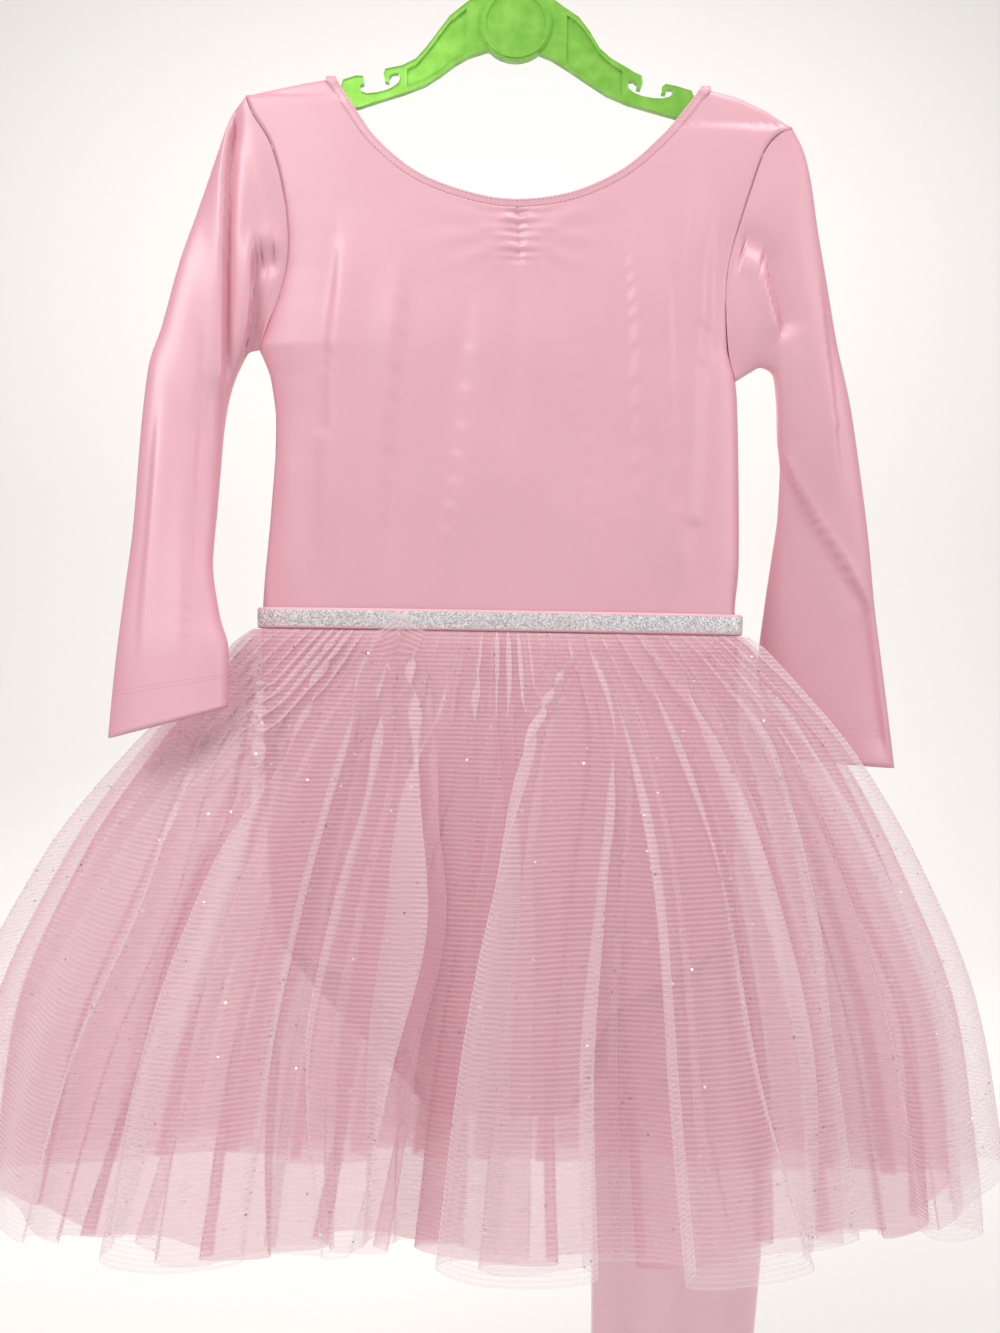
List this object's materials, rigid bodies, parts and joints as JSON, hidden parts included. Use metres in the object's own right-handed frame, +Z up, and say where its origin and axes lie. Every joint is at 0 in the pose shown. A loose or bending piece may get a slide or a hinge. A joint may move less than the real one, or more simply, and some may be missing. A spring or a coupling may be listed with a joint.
{
  "type": "ballet dress on a hanger",
  "caption": "Child's long-sleeved ballet dress with scoop neck, glitter waistband and layered tulle skirt, hung on a plastic hanger.",
  "frame": {"origin": "where a rail touches the inside of the hook's top", "axes": "+Z up, +X to the right as the front is looked at, -Y towards the looker, out of the front"},
  "size_m": [0.5783, 0.2209, 0.8486],
  "materials": {
    "hanger_plastic": "translucent, smooth",
    "satin": "soft satin sheen",
    "glitter_elastic": "silver glitter with pink edges",
    "pale_tulle": "sheer net with glitter",
    "pink_tulle": "sheer net"
  },
  "bodies": {
    "root": {"hanger": "hanger_plastic", "hanger_hook": "hanger_plastic", "bodice_front": "satin", "bodice_back": "satin", "sleeve_left": "satin", "sleeve_right": "satin", "neck_binding": "satin", "brief_front": "satin", "brief_back": "satin", "waistband": "glitter_elastic", "skirt_outer": "pale_tulle", "skirt_middle": "pale_tulle", "skirt_under": "pink_tulle", "sash_tail": "pink_tulle"}
  },
  "joints": []
}
